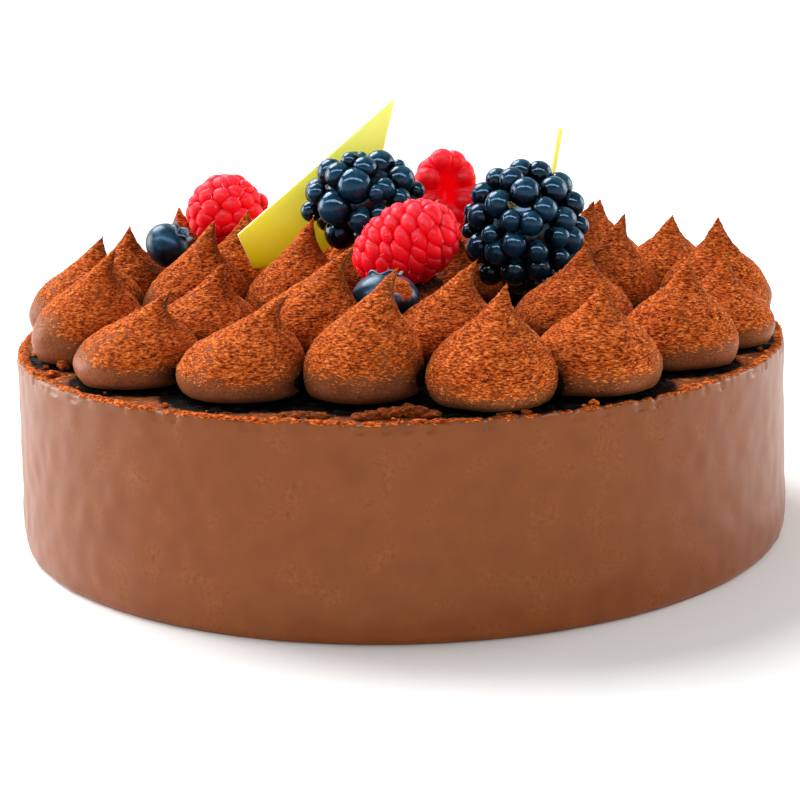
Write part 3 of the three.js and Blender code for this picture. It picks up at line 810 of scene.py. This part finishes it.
def berryHairs(name, material):
    # the dry threads that stay on a raspberry, one or none to a drupelet
    berry = berries[name]
    bm = bmesh.new()
    place = berryPlace(name)
    half = Vector(berry["half"])
    for spot in goldenSpots(hairs["count"]):
        spot = (spot + Vector([draw.uniform(-0.2, 0.2) for _ in range(3)])).normalized()
        if berry["kind"] == "open" and spot.z > 0.75:
            continue
        root = Vector((spot.x * half.x, spot.y * half.y, spot.z * half.z * berry["stretch"])) * 0.97
        length = draw.uniform(*hairs["length"]) * mm
        lean = Vector([draw.uniform(-0.9, 0.9) for _ in range(3)])
        way = ((place.to_3x3() @ root).normalized() + lean).normalized()
        addThread(bm, place @ root + way * length * 0.4, way, length, 1.0, 0.4)
    return finishPiece(bm, name + "_hairs", [material])


def flowerRemains(name, material):
    berry = berries[name]
    look = hairs["remains"]
    place = berryPlace(name)
    size = Matrix.Diagonal([h * look["depth"] for h in berry["half"]] + [1])
    toBall = (place @ size).inverted()
    eye = toBall @ cameraPlace.translation
    along = toBall.to_3x3() @ lineOfSight(*look["at"])
    nearest = -eye.dot(along) / along.length_squared
    reach = math.sqrt(max(0.0, 1 - (eye + nearest * along).length_squared)) / along.length
    middle = place @ size @ (eye + (nearest - reach) * along)
    outwards = (cameraPlace.translation - middle).normalized()
    bm = bmesh.new()
    for _ in range(look["count"]):
        aside = Vector([draw.uniform(-1, 1) for _ in range(3)]) * look["spread"] * mm * 0.5
        way = Vector([draw.uniform(-1, 1) for _ in range(3)]) + outwards
        addThread(bm, middle + aside, way, draw.uniform(*look["length"]) * mm, 1.6, 0.5)
    return finishPiece(bm, name + "_remains", [material])


blueberries = {
    # dusted: where cocoa lies on it, in the picture (x, y), and how wide in millimetres
    "blueberry_left": {"radius": 6.0, "half": 5.2, "tip": (10, 44)},
    "blueberry_front": {"radius": 7.6, "half": 6.2, "tip": (-14, 2), "dusted": (404, 285), "wide": 3.6},
}
# share: of the berry's width; rise, sink: in millimetres; wall: how thick, in shares of its ring
crown = {"share": 0.42, "rise": 0.9, "sink": 1.2, "wall": 0.2, "lobes": 5, "sides": 80}
bloom = {
    # from the bare skin to the thickest bloom; as it also runs paler where the skin faces up, it is partly
    # painted light from above
    "colours": ((0.42, "#010810"), (0.66, "#052a42"), (0.82, "#174a63"), (0.98, "#4c6e84")),
    # crown: the pale top edge of the crown, a painted highlight
    "crown": "#9db0bf", "size": 2.6 * mm, "roughness": 0.30, "gloss": 0.35, "tint": "#a8d4ff",
    "sheen": 0.05, "sheenColour": "#c9dcff",
}


# blueberry skin: navy, veiled with a pale waxy bloom that is rubbed off in places
def blueberrySkin():
    made, tree, shader = newMaterial("blueberry skin with bloom", **{
        "Roughness": bloom["roughness"], "Specular IOR Level": bloom["gloss"],
        "Specular Tint": linear(bloom["tint"]), "Sheen Weight": bloom["sheen"],
        "Sheen Tint": linear(bloom["sheenColour"])})
    place = addNode(tree, "TexCoord", output="Object")
    veil = addNode(tree, "TexNoise", {"Vector": place, "Scale": 1 / bloom["size"], "Detail": 4.0})
    up = addNode(tree, "SeparateXYZ", {"Vector": addNode(tree, "NewGeometry", output="Normal")}, output="Z")
    # paler where the skin faces up: partly its bloom, partly painted light from above
    lit = addNode(tree, "Math", {0: up, 1: 0.28, 2: veil}, operation="MULTIPLY_ADD")
    body = addNode(tree, "ValToRGB", {"Fac": lit}, stops=bloom["colours"])
    # painted highlight along the top edge of the crown
    edge = addNode(tree, "Attribute", output="Fac", attribute_name="edge")
    body = addNode(tree, "Mix", {0: edge, 6: body, 7: linear(bloom["crown"])}, **ofColours)
    dust = addNode(tree, "Attribute", output="Fac", attribute_name="dust")
    grain = addNode(tree, "TexNoise", {"Vector": place, "Scale": 1 / mousseLook["grain"], "Detail": 2.0})
    grain = addNode(tree, "Math", {0: grain, 1: 0.5, 2: 0.29}, operation="MULTIPLY_ADD")
    powder = addNode(tree, "ValToRGB", {"Fac": grain}, stops=mousseLook["cocoa"])
    body = addNode(tree, "Mix", {0: dust, 6: body, 7: powder}, **ofColours)
    tree.links.new(body, shader.inputs["Base Color"])
    bump = addNode(tree, "Bump", {"Height": veil, "Strength": 0.2, "Distance": 0.3 * mm})
    tree.links.new(bump, shader.inputs["Normal"])
    return made


def blueberryPlace(name):
    low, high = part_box(name)
    turnX, turnY = (math.radians(a) for a in blueberries[name]["tip"])
    turn = Matrix.Rotation(turnX, 4, "X") @ Matrix.Rotation(turnY, 4, "Y")
    rise = turn.to_3x3() @ Vector((0, 0, crown["rise"] * mm / 3))
    return Matrix.Translation((low + high) / 2 - rise) @ turn


def blueberry(name, material):
    berry = blueberries[name]
    radius, half = berry["radius"] * mm, berry["half"] * mm
    ring = crown["share"] * radius
    rim = half * math.sqrt(1 - crown["share"] ** 2)
    wall, rise, sink = crown["wall"], crown["rise"] * mm, crown["sink"] * mm
    outline = [(0, -half)]
    for degrees in range(-84, 64, 6):
        outline.append((radius * math.cos(math.radians(degrees)), half * math.sin(math.radians(degrees))))
    outline += [(ring * (1 + wall / 2), rim + 0.1 * rise), (ring * (1 + wall), rim + rise * 0.6),
                (ring * (1 + wall), rim + rise), (ring, rim + rise * 0.9), (ring * (1 - wall), rim),
                (ring * 0.6, rim - sink * 0.8), (0, rim - sink)]
    bm = spun(outline, crown["sides"])
    crownHighlightLayer = bm.verts.layers.float.new("edge")
    dustLayer = bm.verts.layers.float.new("dust")
    for v in bm.verts:
        lobe = math.cos(crown["lobes"] * math.atan2(v.co.y, v.co.x))
        if v.co.z > rim + rise * 0.4:
            # painted highlight along the top edge of the crown
            v[crownHighlightLayer] = 0.8 * smooth(v.co.z, rim + rise * 0.6, rim + rise)
            v.co.z -= rise / 2 * (1 - lobe)
    bmesh.ops.transform(bm, matrix=blueberryPlace(name), verts=bm.verts)
    if "dusted" in berry:
        middle = blueberryPlace(name).translation
        eye = cameraPlace.translation
        spot = eye + lineOfSight(*berry["dusted"]) * ((middle - eye).length - half)
        for v in bm.verts:
            apart = (v.co - spot) / (berry["wide"] * mm)
            v[dustLayer] = 1 - smooth(apart.length + 0.4 * noise.noise(v.co / mm), 0.75, 1.0)
        for f in bm.faces:
            f.material_index = 1 if sum(v[dustLayer] for v in f.verts) > 0.6 * len(f.verts) else 0
    bm.verts.layers.float.new("painted_shade")
    bm.verts.layers.float.new("crust")
    return finishPiece(bm, name + "_skin", [material, dusty], [name])


blades = {
    "roughness": 0.42, "gloss": 0.12, "subsurface": 0.8, "radius": (1.0, 0.95, 0.3), "depth": 2 * mm,
    "cloud": 4 * mm, "film": "#fff3b0", "rounded": 0.22 * mm,
    "rise": (60 * mm, 92 * mm),   # the heights between which the colour changes
    # name, and colour low down and high up
    "face": ("yellow cocoa butter film", "#f2ec00", "#fff890"),
    "cut": ("white chocolate cut edge", "#f6ecc0", "#fdf8dc"),
    "thin": ("yellow cocoa butter film, seen edge-on", "#f0e88c", "#f4ea80"),
}


# white chocolate under a film of yellow cocoa butter: smooth, with a soft sheen and paler cut edges
def whiteChocolate(name, low, high):
    made, tree, shader = newMaterial(name, **{
        "Roughness": blades["roughness"], "Specular IOR Level": blades["gloss"],
        "Subsurface Weight": blades["subsurface"], "Subsurface Radius": blades["radius"],
        "Subsurface Scale": blades["depth"]})
    place = addNode(tree, "TexCoord", output="Object")
    height = addNode(tree, "SeparateXYZ", {"Vector": place}, output="Z")
    bottom, top = blades["rise"]
    rise = addNode(tree, "MapRange", {"Value": height, "From Min": bottom, "From Max": top})
    cloud = addNode(tree, "TexNoise", {"Vector": place, "Scale": 1 / blades["cloud"], "Detail": 3.0})
    body = addNode(tree, "Mix", {0: rise, 6: linear(low), 7: linear(high)}, **ofColours)
    film = addNode(tree, "MapRange", {"Value": cloud, "From Min": 0.4, "From Max": 0.7, "To Max": 0.12})
    body = addNode(tree, "Mix", {0: film, 6: body, 7: linear(blades["film"])}, **ofColours)
    tree.links.new(body, shader.inputs["Base Color"])
    bump = addNode(tree, "Bump", {"Height": cloud, "Strength": 0.12, "Distance": 0.2 * mm})
    tree.links.new(bump, shader.inputs["Normal"])
    return made


def blade(name, face, edge):
    bm = bmesh.new()
    bm.from_mesh(nodes[name].data)
    bmesh.ops.remove_doubles(bm, verts=bm.verts, dist=1e-6)
    bmesh.ops.dissolve_limit(bm, angle_limit=math.radians(2), verts=bm.verts, edges=bm.edges)
    bmesh.ops.bevel(bm, geom=bm.edges, offset=blades["rounded"], affect="EDGES", segments=2, profile=0.5,
                    material=-1)
    bm.faces.ensure_lookup_table()
    broad = max(bm.faces, key=lambda f: f.calc_area()).normal.copy()
    for f in bm.faces:
        f.material_index = 0 if abs(f.normal.dot(broad)) > 0.9 else 1
    return finishPiece(bm, name + "_blade", [face, edge], [name])


crumbs = {
    "count": 60, "size": (0.25, 0.7), "ring": (85, 89.2),   # strewn round the edge, in millimetres
    "height": 45.3 * mm, "ground": 44.8, "sunk": 0.9,       # of those, and of the ground of the ones below
    "rough": 0.35,
    # in the picture (x, y), with radii in millimetres: across, and up
    "seen": ((64.5, 364, 1.6, 1.5), (52, 374, 1.5, 0.8), (594, 404, 1.0, 0.8), (706, 381, 0.9, 0.6),
             (526, 413, 0.9, 0.7), (505, 415, 1.5, 0.5)),
    # a low ridge in the dark under the front drops
    "ridge": ((362, 416, 2.2, 0.6), (374, 415, 2.2, 0.8), (386, 413.5, 2.2, 0.9), (397, 412.5, 2.0, 1.1),
              (408, 411, 1.8, 1.4), (419, 412, 2.0, 1.1), (430, 414, 2.2, 0.7), (290, 415, 2.4, 0.7),
              (303, 415, 2.2, 0.7), (318, 416, 2.2, 0.6)),
    # shaded: how much painted shade the ridge takes
    "shaded": 0.6,
}


def onTop(x, y, height):
    # the place at a height that shows at a pixel of the picture
    eye = cameraPlace.translation
    way = lineOfSight(x, y)
    return eye + way * (height - eye.z) / way.z


def rimCrumbs():
    # lumps of mousse and cocoa along the edge
    lumps = []
    for kind, shade in (("seen", 0.0), ("ridge", crumbs["shaded"])):
        for x, y, across, up in crumbs[kind]:
            place = onTop(x, y, (crumbs["ground"] + up * crumbs["sunk"]) * mm)
            lumps.append((place, across * mm, up * mm, shade))
    for _ in range(crumbs["count"]):
        turn = draw.uniform(0, 2 * math.pi)
        out = draw.uniform(*crumbs["ring"]) * mm
        radius = draw.uniform(*crumbs["size"]) * mm
        place = Vector((out * math.cos(turn), out * math.sin(turn), crumbs["height"]))
        lumps.append((place, radius, radius * 0.8, 0.0))
    bm = bmesh.new()
    paintedShadeLayer = bm.verts.layers.float.new("painted_shade")
    for place, across, up, shade in lumps:
        made = bmesh.ops.create_icosphere(bm, subdivisions=3, radius=1)
        for v in made["verts"]:
            rough = 1 + crumbs["rough"] * noise.fractal(v.co * 1.3 + place / mm, 0.8, 2.1, 3)
            v.co = place + Vector((v.co.x * across, v.co.y * across, v.co.z * up)) * rough
            v[paintedShadeLayer] = shade
    powder(bm, lambda v: 0.8, 0)
    return finishPiece(bm, "rim_crumbs", [dusty])


# loose grains of cocoa, from dark shell to pale tan
def looseCocoa():
    made, tree, shader = newMaterial("loose grains of cocoa", **{"Roughness": 0.9, "Specular IOR Level": 0.1})
    tone = addNode(tree, "Attribute", output="Fac", attribute_name="tone")
    colour = addNode(tree, "ValToRGB", {"Fac": tone}, stops=grains["tones"])
    tree.links.new(colour, shader.inputs["Base Color"])
    return made


def cocoaGrains():
    one = bmesh.new()
    bmesh.ops.create_icosphere(one, subdivisions=1, radius=1)
    grain = bpy.data.meshes.new("grain")
    one.to_mesh(grain)
    one.free()
    bm = bmesh.new()
    for _ in strewn:
        bm.from_mesh(grain)
    toneLayer = bm.verts.layers.float.new("tone")
    verts = list(bm.verts)
    each = len(grain.vertices)
    for i, place in enumerate(strewn):
        turn = Euler([draw.uniform(0, math.pi) for _ in range(3)]).to_matrix()
        size = Matrix.Diagonal([draw.uniform(*grains["size"]) * mm for _ in range(3)])
        tone = draw.random()
        for v in verts[i * each:(i + 1) * each]:
            v.co = place + turn @ size @ v.co
            v[toneLayer] = tone
    bpy.data.meshes.remove(grain)
    return finishPiece(bm, "cocoa_grains", [looseCocoa()])


eggs = []     # the shapes that the fruit presses into the drops
strewn = []   # where loose grains lie
for name, berry in berries.items():
    size = [half + fruitLook["room"] / mm for half in berry["half"]]
    size[2] *= berry["stretch"]
    place = berryPlace(name) @ Matrix.Diagonal(size + [1])
    eggs.append({"fromBall": place, "toBall": place.inverted(), "size": size[0] * mm})
for name, berry in blueberries.items():
    size = [(berry[key] + 0.5) * mm for key in ("radius", "radius", "half")]
    place = blueberryPlace(name) @ Matrix.Diagonal(size + [1])
    eggs.append({"fromBall": place, "toBall": place.inverted(), "size": size[0]})

drops = {name: readDrop(name) for name in sorted(nodes) if name.startswith("drop_")}
for name in drops:
    pipedDrop(name)
print("drops piped:", len(drops))

drum()
rimCrumbs()
cocoaGrains()
print("drum made, with", len(strewn), "grains")

skins = {kind: drupeletSkin(fruitLook[kind]) for kind in ("red", "open", "dark")}
for name in berries:
    drupelets(name, skins[berries[name]["kind"]])
pale = dryThread("pale dry berry thread", *hairs["pale"])
berryHairs("raspberry_left", pale)
berryHairs("raspberry_front", pale)
berryHairs("raspberry_back", dryThread("brown dry berry thread", *hairs["brown"]))
flowerRemains("dark_berry_right", dryThread("dry flower remains", *hairs["straw"]))
waxy = blueberrySkin()
for name in blueberries:
    blueberry(name, waxy)
print("fruit made")

blade("white_chocolate_large", whiteChocolate(*blades["face"]), whiteChocolate(*blades["cut"]))
thin = whiteChocolate(*blades["thin"])
blade("white_chocolate_small", thin, thin)
print("blades made")
